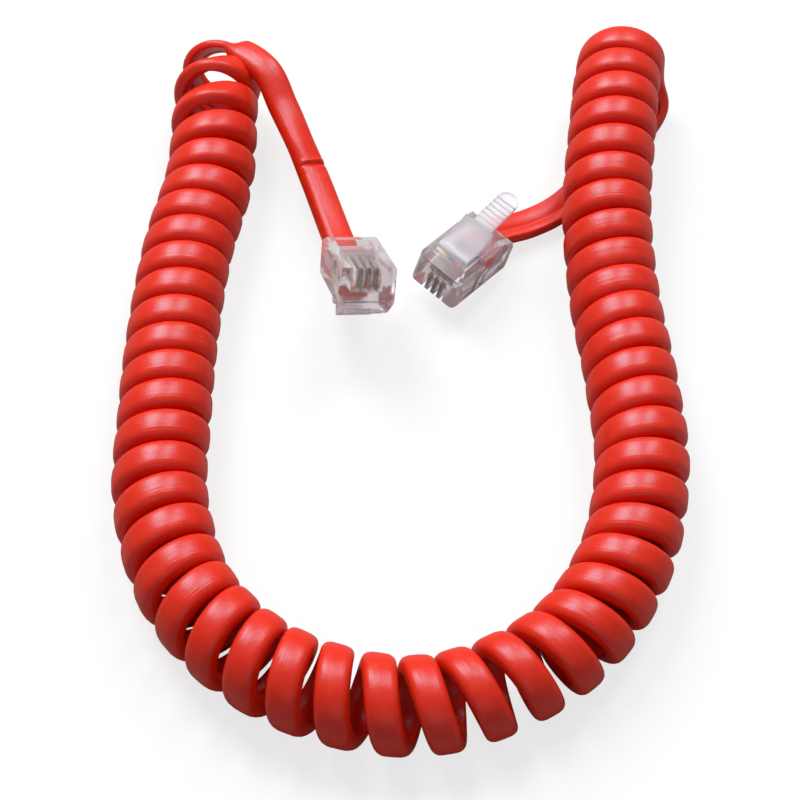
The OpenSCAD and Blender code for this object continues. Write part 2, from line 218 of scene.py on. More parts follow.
@dataclass
class SharedEffects:
    """Node groups that several finishes place with their own values."""

    fine_share: float = 0.35
    scratch_turns: tuple[float, ...] = (0.4, 1.7, 2.6)
    scratch_tilts: tuple[float, float] = (0.6, 1.3)
    scratch_thinness: float = 0.04
    scratch_level: float = 0.62
    scratch_contrast: float = 12.0
    speck_scale: float = 1500.0

    def __post_init__(self) -> None:
        """Builds each group once."""
        self.grain = self._moulded_grain()
        self.marks = self._handling_marks()
        self.dust = self._settled_dust()

    def _moulded_grain(self) -> bpy.types.NodeTree:
        """Builds the soft unevenness of a moulded or extruded surface.

        Returns:
            A group with a broad Mask and a fine Height.
        """
        board, given, out = new_group(
            "moulded_grain", [("Broad Scale", 180.0), ("Fine Scale", 2400.0)], ["Mask", "Height"]
        )
        place = board.add("ShaderNodeTexCoord").outputs["Object"]
        broad = board.noise(3.0)
        fine = board.noise(2.0)
        board.link(place, broad.inputs["Vector"])
        board.link(place, fine.inputs["Vector"])
        board.link(given.outputs["Broad Scale"], broad.inputs["Scale"])
        board.link(given.outputs["Fine Scale"], fine.inputs["Scale"])
        board.link(broad.outputs["Fac"], out.inputs["Mask"])
        blend = board.math("MULTIPLY", fine.outputs["Fac"], self.fine_share)
        board.link(board.math("ADD", blend, broad.outputs["Fac"]), out.inputs["Height"])
        return board.tree

    def _handling_marks(self) -> bpy.types.NodeTree:
        """Builds thin, sparse scratches in several directions.

        Returns:
            A group with a scratch Mask.
        """
        board, given, out = new_group(
            "handling_marks", [("Scale", 900.0), ("Amount", 0.5)], ["Mask"]
        )
        place = board.add("ShaderNodeTexCoord").outputs["Object"]
        second, third = self.scratch_tilts
        thin = self.scratch_thinness
        total: bpy.types.NodeSocket | float = 0.0
        for turn in self.scratch_turns:
            turned = board.add("ShaderNodeMapping")
            turned.inputs["Rotation"].default_value = (turn, turn * second, turn * third)
            turned.inputs["Scale"].default_value = (1.0, thin, thin)
            board.link(place, turned.inputs["Vector"])
            streak = board.noise(1.0)
            board.link(turned.outputs["Vector"], streak.inputs["Vector"])
            board.link(given.outputs["Scale"], streak.inputs["Scale"])
            above = board.math("SUBTRACT", streak.outputs["Fac"], self.scratch_level)
            sharp = board.math("MULTIPLY", above, self.scratch_contrast)
            total = board.math("ADD", sharp, total)
        held = board.add("ShaderNodeClamp")
        board.link(board.math("MULTIPLY", total, given.outputs["Amount"]), held.inputs["Value"])
        board.link(held.outputs["Result"], out.inputs["Mask"])
        return board.tree

    def _settled_dust(self) -> bpy.types.NodeTree:
        """Builds the faint film that settles on faces that look up.

        Returns:
            A group with a Mask that grows towards upward faces.
        """
        board, given, out = new_group("settled_dust", [("Amount", 0.3)], ["Mask"])
        facing = board.add("ShaderNodeSeparateXYZ")
        board.link(board.add("ShaderNodeNewGeometry").outputs["Normal"], facing.inputs["Vector"])
        speck = board.noise(4.0, self.speck_scale)
        board.link(board.add("ShaderNodeTexCoord").outputs["Object"], speck.inputs["Vector"])
        upward = board.math("MAXIMUM", facing.outputs["Z"], 0.0)
        film = board.math("MULTIPLY", board.math("MULTIPLY", upward, upward), speck.outputs["Fac"])
        board.link(board.math("MULTIPLY", film, given.outputs["Amount"]), out.inputs["Mask"])
        return board.tree


# ---- finishes


class Surface:
    """One Principled material on a board."""

    def __init__(self, name: str) -> None:
        """Starts the material.

        Args:
            name: the material's name.
        """
        self.material = bpy.data.materials.new(name)
        self.material.use_nodes = True
        self.board = NodeBoard(self.material.node_tree)
        self.shader = self.board.add("ShaderNodeBsdfPrincipled")
        out = self.board.add("ShaderNodeOutputMaterial")
        self.board.link(self.shader.outputs["BSDF"], out.inputs["Surface"])

    def set(self, **values: object) -> None:
        """Sets uniform values on the shader's own sockets.

        Args:
            values: socket names, with _ for each space, and their values.
        """
        for name, value in values.items():
            self.shader.inputs[name.replace("_", " ")].default_value = value

    def effect(self, tree: bpy.types.NodeTree, **values: float) -> bpy.types.Node:
        """Places a shared group with this finish's own values.

        Args:
            tree: the group.
            values: input names, with _ for each space, and their values.

        Returns:
            The group node.
        """
        node = self.board.add("ShaderNodeGroup", node_tree=tree)
        for name, value in values.items():
            node.inputs[name.replace("_", " ")].default_value = value
        return node

    def colour(self, source: bpy.types.NodeSocket) -> None:
        """Links the base colour."""
        self.board.link(source, self.shader.inputs["Base Color"])

    def roughness(self, mask: bpy.types.NodeSocket, low: float, high: float) -> None:
        """Links the roughness to a mask's range."""
        self.board.link(self.board.spread(mask, low, high), self.shader.inputs["Roughness"])

    def relief(self, height: bpy.types.NodeSocket, depth: float, strength: float = 1.0) -> None:
        """Adds a bump.

        Args:
            height: the height's socket.
            depth: the bump's distance in metres.
            strength: the bump's strength.
        """
        bump = self.board.add("ShaderNodeBump")
        bump.inputs["Strength"].default_value = strength
        bump.inputs["Distance"].default_value = depth
        self.board.link(height, bump.inputs["Height"])
        self.board.link(bump.outputs["Normal"], self.shader.inputs["Normal"])


@dataclass(frozen=True)
class JacketFinish:
    """Satin red vinyl, extruded: faint lines run along it and its red drifts a little."""

    deep: Colour = (0.74, 0.014, 0.001)
    fresh: Colour = (0.86, 0.032, 0.003)
    dusty: Colour = (0.75, 0.26, 0.22)
    # a painted cool cast on the jacket's reflections, which stands in for cool window light
    painted_reflection_tint: Colour = (0.10, 0.82, 1.0)
    shine_level: float = 0.55
    smooth: float = 0.27
    rough: float = 0.44
    line_scale: float = 46.0
    line_stretch: float = 0.012
    relief: float = 0.04 * MM

    def _drawn_lines(self, board: NodeBoard) -> bpy.types.NodeSocket:
        """Draws the faint lines that the extruder's die leaves along the jacket.

        Args:
            board: the material's board.

        Returns:
            The lines' height.
        """
        drawn = board.noise(2.0, self.line_scale)
        stretch = board.add("ShaderNodeMapping")
        stretch.inputs["Scale"].default_value = (1.0, self.line_stretch, 1.0)
        place = board.add("ShaderNodeUVMap", uv_map="jacket")
        board.link(place.outputs["UV"], stretch.inputs["Vector"])
        board.link(stretch.outputs["Vector"], drawn.inputs["Vector"])
        return drawn.outputs["Fac"]

    def make(self, effects: SharedEffects) -> bpy.types.Material:
        """Makes the material.

        Args:
            effects: the shared node groups.

        Returns:
            The jacket's material.
        """
        surface = Surface("jacket_red_vinyl")
        board = surface.board
        grain = surface.effect(effects.grain, Broad_Scale=620.0, Fine_Scale=3600.0)
        dust = surface.effect(effects.dust, Amount=0.05)
        marks = surface.effect(effects.marks, Scale=700.0, Amount=0.25)
        red = board.mix(grain.outputs["Mask"], self.deep, self.fresh)
        surface.colour(board.mix(dust.outputs["Mask"], red, self.dusty))
        surface.relief(
            board.math("ADD", grain.outputs["Height"], self._drawn_lines(board)), self.relief
        )
        worn = board.math("ADD", grain.outputs["Mask"], marks.outputs["Mask"])
        surface.roughness(worn, self.smooth, self.rough)
        # the specular tint paints a cool cast into the jacket's reflections in place of cool light
        surface.set(
            IOR=1.5, Specular_IOR_Level=self.shine_level, Specular_Tint=(*self.painted_reflection_tint, 1.0)
        )
        return surface.material


@dataclass(frozen=True)
class ClearFinish:
    """Polycarbonate with a faint tint, fine scratches and a soft moulded surface."""

    name: str = "clear_polycarbonate"
    tint: Colour = (0.92, 0.89, 0.92)
    smooth: float = 0.05
    rough: float = 0.17
    clarity: float = 0.82
    refraction: float = 1.31
    coat: float = 0.35
    coat_roughness: float = 0.05
    dimming: float = 0.97
    grain_share: float = 0.6
    relief: float = 0.03 * MM
    relief_strength: float = 0.6

    def make(self, effects: SharedEffects) -> bpy.types.Material:
        """Makes the material.

        Args:
            effects: the shared node groups.

        Returns:
            The clear plastic's material.
        """
        surface = Surface(self.name)
        board = surface.board
        grain = surface.effect(effects.grain, Broad_Scale=420.0, Fine_Scale=5200.0)
        marks = surface.effect(effects.marks, Scale=1600.0, Amount=0.5)
        dimmed = tuple(value * self.dimming for value in self.tint)
        surface.colour(board.mix(grain.outputs["Mask"], self.tint, dimmed))
        soft = board.math("MULTIPLY", grain.outputs["Mask"], self.grain_share)
        worn = board.math("ADD", soft, marks.outputs["Mask"])
        surface.roughness(worn, self.smooth, self.rough)
        surface.relief(grain.outputs["Height"], self.relief, self.relief_strength)
        surface.set(Transmission_Weight=self.clarity, IOR=self.refraction)
        surface.set(Coat_Weight=self.coat, Coat_Roughness=self.coat_roughness)
        return surface.material


@dataclass(frozen=True)
class GoldFinish:
    """Thin gold over phosphor bronze, rubbed where a jack's springs touch it."""

    gold: Colour = (0.92, 0.80, 0.66)
    bronze: Colour = (0.60, 0.44, 0.32)
    smooth: float = 0.16
    rough: float = 0.42
    relief: float = 0.01 * MM
    relief_strength: float = 0.5

    def make(self, effects: SharedEffects) -> bpy.types.Material:
        """Makes the material.

        Args:
            effects: the shared node groups.

        Returns:
            The contacts' material.
        """
        surface = Surface("contact_gold")
        grain = surface.effect(effects.grain, Broad_Scale=900.0, Fine_Scale=9000.0)
        marks = surface.effect(effects.marks, Scale=3000.0, Amount=0.8)
        surface.colour(surface.board.mix(marks.outputs["Mask"], self.gold, self.bronze))
        surface.roughness(grain.outputs["Mask"], self.smooth, self.rough)
        surface.relief(grain.outputs["Height"], self.relief, self.relief_strength)
        surface.set(Metallic=1.0)
        return surface.material


@dataclass(frozen=True)
class StrandFinish:
    """Bare copper at a conductor's cut end, dull and slightly brown."""

    bright: Colour = (0.72, 0.38, 0.22)
    dull: Colour = (0.36, 0.18, 0.10)
    smooth: float = 0.3
    rough: float = 0.6
    relief: float = 0.03 * MM
    relief_strength: float = 0.8

    def make(self, effects: SharedEffects) -> bpy.types.Material:
        """Makes the material.

        Args:
            effects: the shared node groups.

        Returns:
            The strands' material.
        """
        surface = Surface("cut_copper")
        grain = surface.effect(effects.grain, Broad_Scale=5000.0, Fine_Scale=16000.0)
        surface.colour(surface.board.mix(grain.outputs["Mask"], self.dull, self.bright))
        surface.roughness(grain.outputs["Mask"], self.smooth, self.rough)
        surface.relief(grain.outputs["Height"], self.relief, self.relief_strength)
        surface.set(Metallic=1.0)
        return surface.material


@dataclass(frozen=True)
class InsulationFinish:
    """Smooth coloured insulation with slight streaks in its pigment."""

    tone: Tone
    colour: Colour
    paling: float = 1.18
    paling_floor: float = 0.01
    smooth: float = 0.34
    rough: float = 0.6
    relief: float = 0.01 * MM
    relief_strength: float = 0.6

    def make(self, effects: SharedEffects) -> bpy.types.Material:
        """Makes the material.

        Args:
            effects: the shared node groups.

        Returns:
            The insulation's material.
        """
        surface = Surface(f"insulation_{self.tone.value}")
        grain = surface.effect(effects.grain, Broad_Scale=1400.0, Fine_Scale=9000.0)
        marks = surface.effect(effects.marks, Scale=2500.0, Amount=0.4)
        paler = tuple(min(1.0, value * self.paling + self.paling_floor) for value in self.colour)
        surface.colour(surface.board.mix(grain.outputs["Mask"], self.colour, paler))
        surface.roughness(marks.outputs["Mask"], self.smooth, self.rough)
        surface.relief(grain.outputs["Height"], self.relief, self.relief_strength)
        return surface.material


FROSTED = ClearFinish(
    "frosted_polycarbonate", (0.87, 0.86, 0.91), smooth=0.18, rough=0.36, clarity=0.66, coat=0.12
)
INSULATION = (
    InsulationFinish(Tone.YELLOW, (0.92, 0.68, 0.04)),
    InsulationFinish(Tone.GREEN, (0.02, 0.40, 0.37)),
    InsulationFinish(Tone.RED, (0.78, 0.08, 0.10)),
    InsulationFinish(Tone.BLACK, (0.07, 0.07, 0.09)),
)


@dataclass
class Palette:
    """All of the finishes' materials, made once."""

    effects: SharedEffects
    jacket: bpy.types.Material = field(init=False)
    clear: bpy.types.Material = field(init=False)
    frosted: bpy.types.Material = field(init=False)
    gold: bpy.types.Material = field(init=False)
    copper: bpy.types.Material = field(init=False)
    insulation: dict[Tone, bpy.types.Material] = field(init=False)

    def __post_init__(self) -> None:
        """Makes the materials."""
        self.jacket = JacketFinish().make(self.effects)
        self.clear = ClearFinish().make(self.effects)
        self.frosted = FROSTED.make(self.effects)
        self.gold = GoldFinish().make(self.effects)
        self.copper = StrandFinish().make(self.effects)
        self.insulation = {finish.tone: finish.make(self.effects) for finish in INSULATION}


# ---- curves


def eased(share: float) -> float:
    """Holds a share between 0 and 1 and softens its start and its end."""
    held = min(1.0, max(0.0, share))
    return held * held * (3 - 2 * held)


def along(points: Sequence[Vector], step: float) -> Vector:
    """Finds a place on the smooth curve through a list of points.

    Args:
        points: the curve's points, with one spare point past each end.
        step: how far along, counted in points.

    Returns:
        The place.
    """
    index = min(max(math.floor(step), 1), len(points) - 3)
    a, b, c, d = points[index - 1 : index + 3]
    u = step - index
    return 0.5 * (
        2 * b + (c - a) * u + (2 * a - 5 * b + 4 * c - d) * u * u + (3 * b - a - 3 * c + d) * u**3
    )


def slope(points: Sequence[Vector], step: float, reach: float = 0.01) -> Vector:
    """Finds the curve's heading at a step, as a unit vector, from a short reach either way."""
    return (along(points, step + reach) - along(points, step - reach)).normalized()


@dataclass(frozen=True)
class Station:
    """One cross-section of the jacket: where it is and how it is turned and shaped."""

    place: Vector
    heading: Vector
    out: Vector
    lean: float = 0.0
    thin: float = 1.0
    dent: float = 0.0

    def corner(self, across: float, rise: float) -> Vector:
        """Finds a point of the section.

        Args:
            across: how far along the section's width.
            rise: how far towards its rounded outer face.

        Returns:
            The point, which lies on the table or above it.
        """
        level = self.out.cross(self.heading).normalized()
        face = self.heading.cross(level)
        wide = math.cos(self.lean) * level + math.sin(self.lean) * face
        thick = math.cos(self.lean) * face - math.sin(self.lean) * level
        if rise > 0:
            rise *= 1 - self.dent
        point = self.place + wide * across + thick * rise * self.thin
        point.z = max(point.z, 0.0)
        return point


# ---- the cord


@dataclass
class CurlyCord:
    """The cord's jacket: a free lead, an open arch, 48 curls laid in a U and a second lead."""

    width: float = 4.15 * MM
    thickness: float = 2.2 * MM
    edge_radius: float = 0.36 * MM
    roundness: float = 0.58
    face_steps: int = 16
    groove_mm: tuple[tuple[float, float], ...] = ((-0.78, 0), (-0.66, 0.1), (-0.54, 0))
    curl_diameter: float = 12.0 * MM
    rest_height: float = 5.6 * MM
    curls_per_point: int = 3
    first_curl: float = -1.0
    past_last_point: float = 0.25
    rings_per_curl: int = 40
    rings_per_span: int = 40
    cord_depth: float = 3.0 * MM
    pattern_step: float = 10 * MM
    route_mm: tuple[tuple[float, float, float], ...] = (
        (-23.5, 60, -2), (-26.2, 47.3, 0), (-26.6, 32, 0), (-29, 19, 0), (-30.2, 6, 0),
        (-30.6, -7, 0), (-30.2, -21, 0), (-25.1, -34.6, 0), (-13.5, -44.3, 0), (2.5, -47.5, 0),
        (17.5, -41.1, 0), (26.2, -29.5, 0), (29.5, -15.7, 0), (29, -2.3, 0), (27.5, 10.9, 0.1),
        (27, 23.9, 1.9), (28.3, 36.8, 3.1), (30.2, 49.7, 2.2), (34.5, 62.2, 0),
    )
    # a lead's guide points, each with the way that the rounded face looks there
    lead_a_mm: tuple[tuple[float, ...], ...] = (
        (-19.5, 47.6, 9.6, 2.2, -3, 7), (-16.7, 42.4, 7.5, 2.5, -1.5, 7),
        (-14.2, 36.6, 6.3, 4, 0, 6), (-12, 30.9, 5.3, 3, 0, 7),
    )
    lead_b_mm: tuple[tuple[float, ...], ...] = (
        (35.5, 46.5, 2.2, 5, 0, -6), (31.5, 41, 1.25, 0, 0, -1), (26.5, 35, 1.2, 0, 0, -1),
        (21.5, 29.5, 1.2, 0, 0, -1), (17, 26.5, 1.4, 0, 0, -1),
    )
    # curl's number, its lean in degrees and its share of the full thickness
    open_curls: tuple[tuple[float, float, float], ...] = (
        (-1, 46, 0.56), (0, 42, 0.80), (1, 30, 0.88), (2, 8, 0.97), (3, 0, 1),
    )
    arch_end: float = -0.5
    arch_power: float = 0.7
    crown_power: float = 2.0
    crown_shift: float = 0.06
    drop_start: float = -0.35
    drop_span: float = 0.65
    end_drop: tuple[float, float, float] = (-0.25 * MM, -0.5 * MM, -0.25 * MM)
    end_shrink: float = 0.07
    untwist_end: float = 0.38
    untwist_span: float = 0.36
    straight_a: float = 3.6 * MM
    straight_b: float = 0.8 * MM
    lead_run_on: float = 4 * MM
    crease_step: float = 4.69
    # each dent's depth, its shift from the crease and its reach
    crease_dents: tuple[tuple[float, float, float], ...] = (
        (0.30, 0.0, 0.04), (-0.12, -0.10, 0.05),
    )

    def __post_init__(self) -> None:
        """Turns the route's points into metres."""
        self.axis_radius = (self.curl_diameter - self.thickness) / 2
        self.route = [Vector(p) * MM + UP * self.rest_height for p in self.route_mm]
        whole_curls = self.curls_per_point * (len(self.route) - 3)
        self.last_curl = whole_curls + self.past_last_point

    def _curl_out(self, curl: float) -> Vector:
        """Finds the way out from the coil's axis, which is up at each whole curl.

        Args:
            curl: the curl's number.

        Returns:
            The way out, as a unit vector.
        """
        ahead = slope(self.route, curl / self.curls_per_point + 1)
        side = ahead.cross(UP).normalized()
        top = side.cross(ahead)
        angle = math.tau * curl
        return math.cos(angle) * top + math.sin(angle) * side

    def _curl_place(self, curl: float) -> Vector:
        """Finds the middle of the jacket on the coil, whose first end sinks a little.

        Args:
            curl: the curl's number.

        Returns:
            The place.
        """
        axis = along(self.route, curl / self.curls_per_point + 1)
        share = eased((self.drop_start - curl) / self.drop_span)
        radius = self.axis_radius * (1 - self.end_shrink * share)
        return axis + radius * self._curl_out(curl) + Vector(self.end_drop) * share

    def _opening(self, curl: float) -> tuple[float, float]:
        """Finds how far the strip leans open over the first curls and how thin it is drawn.

        Args:
            curl: the curl's number.

        Returns:
            The lean in radians and the share of the full thickness.
        """
        curls = [row[0] for row in self.open_curls]
        if curl >= curls[-1]:
            return 0.0, 1.0
        index = max(0, min(math.floor(curl - curls[0]), len(curls) - 2))
        share = curl - curls[index]
        low, high = self.open_curls[index], self.open_curls[index + 1]
        if curl > self.arch_end:
            crown = max(0.0, math.cos(math.tau * (curl - self.crown_shift))) ** self.crown_power
        else:
            crown = max(0.0, math.cos(math.tau * curl)) ** self.arch_power
        lean = crown * (low[1] + share * (high[1] - low[1]))
        thin = low[2] + share * (high[2] - low[2])
        return math.radians(lean), 1 - (1 - thin) * (1 + crown) / 2

    def _curl_station(self, curl: float, reach: float = 0.004) -> Station:
        """Finds the jacket's section on the coil.

        Args:
            curl: the curl's number.
            reach: how far either way its heading is taken from, in curls.

        Returns:
            The section.
        """
        ahead = self._curl_place(curl + reach) - self._curl_place(curl - reach)
        lean, thin = self._opening(curl)
        return Station(
            self._curl_place(curl), ahead.normalized(), self._curl_out(curl), lean, thin
        )

    def _crease(self, step: float) -> float:
        """Finds the share of the rounded face's rise that the old kink takes at a step."""
        return sum(
            depth * math.exp(-(((step - self.crease_step - shift) / reach) ** 2))
            for depth, shift, reach in self.crease_dents
        )

    def _lead_stations(
        self,
        curl: float,
        way: float,
        guide: Sequence[Sequence[float]],
        plug: "ModularPlug",
        straight: float,
        creased: bool = False,
    ) -> list[Station]:
        """Runs a free lead from the coil's end into its plug.

        Args:
            curl: the number of the curl that the lead leaves.
            way: 1 where the lead runs on from the coil, -1 where it runs ahead of it.
            guide: points in millimetres, each with the way that its rounded face looks.
            plug: the plug that the lead ends in.
            straight: how far the lead runs straight on from the plug's mouth.
            creased: whether the lead was once kinked.

        Returns:
            The lead's sections in the coil's own order.
        """
        leaving = self._curl_station(curl)
        heading = leaving.heading * way
        first = Vector(guide[0][:3]) * MM
        before = first - heading * 2 * (first - leaving.place).length
        contact_side = plug.turn(Vector((0, 0, -1)))
        nose = plug.turn(Vector((1, 0, 0)))
        inner = plug.point(Vector((plug.jacket_in, 0, self.cord_depth)))
        mouth = plug.point(Vector((-straight, 0, self.cord_depth)))
        beyond = inner + nose * self.lead_run_on
        places = [before, leaving.place]
        places += [Vector(p[:3]) * MM for p in guide]
        places += [mouth, inner, beyond]
        outs = [leaving.out, leaving.out]
        outs += [Vector(p[3:]).normalized() for p in guide] + [contact_side] * 3
        steps = (len(places) - 3) * self.rings_per_span
        lean, thin = self._opening(curl)
        run = []
        for k in range(1, steps + 1):
            step = 1 + k / self.rings_per_span
            ahead = slope(places, step) * way
            left = eased((self.untwist_end - k / self.rings_per_span) / self.untwist_span)
            run.append(Station(
                along(places, step),
                ahead,
                along(outs, step).normalized(),
                lean * left,
                1 - (1 - thin) * left,
                self._crease(step) if creased else 0.0,
            ))
        return run if way > 0 else run[::-1]

    def stations(self, plug_a: "ModularPlug", plug_b: "ModularPlug") -> list[Station]:
        """Lists every section of the jacket from plug A to plug B.

        Args:
            plug_a: the plug at the coil's first end.
            plug_b: the plug at its other end.

        Returns:
            The sections in order.
        """
        first, last = self.first_curl, self.last_curl
        count = round((last - first) * self.rings_per_curl)
        coil = [self._curl_station(first + k / self.rings_per_curl) for k in range(count + 1)]
        lead_a = self._lead_stations(
            first, -1, self.lead_a_mm, plug_a, self.straight_a, creased=True
        )
        lead_b = self._lead_stations(last, 1, self.lead_b_mm, plug_b, self.straight_b)
        return lead_a + coil + lead_b

    def section(self) -> list[tuple[float, float]]:
        """Draws the jacket's outline, rounded outside and nearly flat inside.

        Returns:
            Points across the jacket and out from its middle, in metres.
        """
        half_w, half_t = self.width / 2, self.thickness / 2
        edge = self.edge_radius
        low = edge - half_t
        outline = []
        for k in range(self.face_steps + 1):
            angle = math.pi * k / self.face_steps
            reach = abs(math.cos(angle)) ** self.roundness
            rise = (half_t - low) * math.sin(angle) ** self.roundness
            outline.append((half_w * math.copysign(reach, math.cos(angle)), low + rise))

        def edge_point(middle: float, degrees: float) -> tuple[float, float]:
            """Finds a point on a rounded edge of the inner face."""
            angle = math.radians(degrees)
            return middle + edge * math.cos(angle), low + edge * math.sin(angle)

        outline += [edge_point(edge - half_w, degrees) for degrees in (210, 240, 270)]
        outline += [(x * MM, rise * MM - half_t) for x, rise in self.groove_mm]
        outline += [edge_point(half_w - edge, degrees) for degrees in (270, 300, 330)]
        return outline

    def _sweep(self, stations: Sequence[Station], lengths: Sequence[float]) -> bmesh.types.BMesh:
        """Sweeps the section through the stations and closes both ends.

        Args:
            stations: the jacket's sections in order.
            lengths: how far along the jacket each of them is, in metres.

        Returns:
            The jacket's bmesh, with its pattern's map.
        """
        outline = self.section()
        sides = len(outline)
        bm = bmesh.new()
        rings = []
        for station in stations:
            rings.append([bm.verts.new(station.corner(x, y)) for x, y in outline])
        uv = bm.loops.layers.uv.new("jacket")
        for row, (ring, ahead) in enumerate(zip(rings, rings[1:])):
            for k in range(sides):
                n = (k + 1) % sides
                face = bm.faces.new((ring[k], ring[n], ahead[n], ahead[k]))
                face.smooth = True
                corners = ((k, row), (k + 1, row), (k + 1, row + 1), (k, row + 1))
                for loop, (u, v) in zip(face.loops, corners):
                    loop[uv].uv = (u / sides, lengths[v] / self.pattern_step)
        bm.faces.new(rings[0][::-1])
        bm.faces.new(rings[-1])
        bmesh.ops.recalc_face_normals(bm, faces=bm.faces)
        return bm

    def build(
        self, plug_a: "ModularPlug", plug_b: "ModularPlug", look: Palette
    ) -> bpy.types.Object:
        """Args:
            plug_a: the plug at the coil's first end.
            plug_b: the plug at its other end.
            look: the finishes.

        Returns:
            The jacket.
        """
        stations = self.stations(plug_a, plug_b)
        lengths = [0.0]
        for a, b in zip(stations, stations[1:]):
            lengths.append(lengths[-1] + (b.place - a.place).length)
        bm = self._sweep(stations, lengths)
        jacket = as_piece("cord_jacket", bm, look.jacket, "cord")
        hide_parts("cord_coil", "lead_a", "lead_b")
        log.info("cord jacket: %d sections, %.3f m", len(stations), lengths[-1])
        return jacket


def as_piece(
    name: str, bm: bmesh.types.BMesh, material: bpy.types.Material, body: str
) -> bpy.types.Object:
    """Turns a finished bmesh into a piece that rides on a body.

    Args:
        name: the piece's name.
        bm: the bmesh, which is freed.
        material: the piece's material.
        body: the body that it rides on.

    Returns:
        The new object.
    """
    mesh = bpy.data.meshes.new(name)
    bm.to_mesh(mesh)
    bm.free()
    piece = bpy.data.objects.new(name, mesh)
    mesh.materials.append(material)
    bpy.context.scene.collection.objects.link(piece)
    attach(piece, body)
    return piece


# ---- a plug


@dataclass
class ModularPlug:
    """A clear four-contact plug: housing, latch, clamp bars, contacts and conductor ends."""

    side: PlugSide
    turns: tuple[float, float, float]
    tones: tuple[Tone, ...]
    length: float = 11.3 * MM
    height: float = 6.6 * MM
    hinge_setback: float = 1.9 * MM
    pitch: float = 1.02 * MM
    wire_radius: float = 0.475 * MM
    wire_depth: float = 3.1 * MM
    jacket_in: float = 4.9 * MM
    wire_end: float = 10.1 * MM
    nose_flat: float = 4.2 * MM
    nose_slope: float = 0.8 * MM
    body_edge: float = 0.16 * MM
    latch_edge: float = 0.07 * MM
    clamp_edge: float = 0.08 * MM
    wire_bar_edge: float = 0.06 * MM
    contact_edge: float = 0.05 * MM
    weld: float = 0.0001 * MM
    flat_degrees: float = 1.0
    sharp_degrees: float = 32.0
    insulation_wall: float = 0.2 * MM
    tip_recess: float = 0.12 * MM
    strands_round: int = 6
    strand_radius: float = 0.085 * MM
    strand_circle: float = 0.175 * MM
    strand_length: float = 0.3 * MM
    strand_setback: float = 0.14 * MM
    pad_margin: float = 0.5 * MM
    pad_edge: float = 0.08 * MM
    pad_rise: float = 0.2 * MM
    pieces: list[bpy.types.Object] = field(default_factory=list)

    def __post_init__(self) -> None:
        """Finds the plug's place from its latch's joint."""
        self.key = self.side.value
        self.rotation = Euler([math.radians(a) for a in self.turns], "XYZ").to_matrix()
        joint = next(j for j in frame["joints"] if j["name"] == f"latch_{self.key}_press")
        hinge = Vector((self.length - self.hinge_setback, 0, self.height))
        self.at = Vector(joint["pos_m"]) - self.rotation @ hinge
        self.matrix = Matrix.Translation(self.at) @ self.rotation.to_4x4()

    def turn(self, direction: Vector) -> Vector:
        """Turns a direction in the plug's frame to the shared frame."""
        return self.rotation @ direction

    def point(self, place: Vector) -> Vector:
        """Moves a point in the plug's frame to the shared frame."""
        return self.matrix @ place

    def _softened(
        self, node: str, width: float, material: bpy.types.Material, body: str
    ) -> bpy.types.Object:
        """Makes a copy of a CAD piece with its sharp edges rounded, in place of the piece.

        Args:
            node: the CAD node.
            width: the rounding's width in metres.
            material: the piece's material.
            body: the body that it rides on.

        Returns:
            The new piece.
        """
        bm = bmesh.new()
        bm.from_mesh(frame["nodes"][node].data)
        bmesh.ops.remove_doubles(bm, verts=bm.verts, dist=self.weld)
        flat = math.radians(self.flat_degrees)
        bmesh.ops.dissolve_limit(bm, angle_limit=flat, verts=bm.verts, edges=bm.edges)
        bmesh.ops.recalc_face_normals(bm, faces=bm.faces)
        if node.endswith("body"):
            self._raise_pad(bm)
        limit = math.radians(self.sharp_degrees)
        sharp = [e for e in bm.edges if e.is_manifold and e.calc_face_angle(0) > limit]
        bmesh.ops.bevel(
            bm, geom=sharp, offset=width, offset_type="OFFSET", affect="EDGES", segments=2,
            profile=0.5, material=-1, clamp_overlap=True,
        )
        for face in bm.faces:
            face.smooth = True
        piece = as_piece(f"{node}_dressed", bm, material, body)
        keep_flats(piece)
        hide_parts(node)
        self.pieces.append(piece)
        return piece

    def _sleeve(self, length: float) -> bmesh.types.BMesh:
        """Makes a conductor's insulation along +Z, with a recess in its cut end.

        Args:
            length: the insulation's length.

        Returns:
            The insulation's bmesh.
        """
        bm = bmesh.new()
        bmesh.ops.create_cone(
            bm, cap_ends=True, segments=24, radius1=self.wire_radius,
            radius2=self.wire_radius, depth=length,
        )
        bmesh.ops.translate(bm, verts=bm.verts, vec=UP * (length / 2))
        tip = max(bm.faces, key=lambda face: face.calc_center_median().z)
        bmesh.ops.inset_region(bm, faces=[tip], thickness=self.insulation_wall)
        bmesh.ops.translate(bm, verts=list(tip.verts), vec=-UP * self.tip_recess)
        bmesh.ops.recalc_face_normals(bm, faces=bm.faces)
        return bm

    def _strands(self, length: float) -> bmesh.types.BMesh:
        """Makes the copper strands in a conductor's cut end, one of them in the middle.

        Args:
            length: the insulation's length.

        Returns:
            The strands' bmesh.
        """
        bm = bmesh.new()
        middle = UP * (length - self.strand_setback)
        ring = [math.tau * k / self.strands_round for k in range(self.strands_round)]
        places = [Vector((math.cos(turn), math.sin(turn), 0)) for turn in ring]
        for place in places + [Vector((0, 0, 0))]:
            grown = bmesh.ops.create_cone(
                bm, cap_ends=True, segments=8, radius1=self.strand_radius,
                radius2=self.strand_radius, depth=self.strand_length,
            )
            offset = place * self.strand_circle + middle
            bmesh.ops.translate(bm, verts=grown["verts"], vec=offset)
        return bm

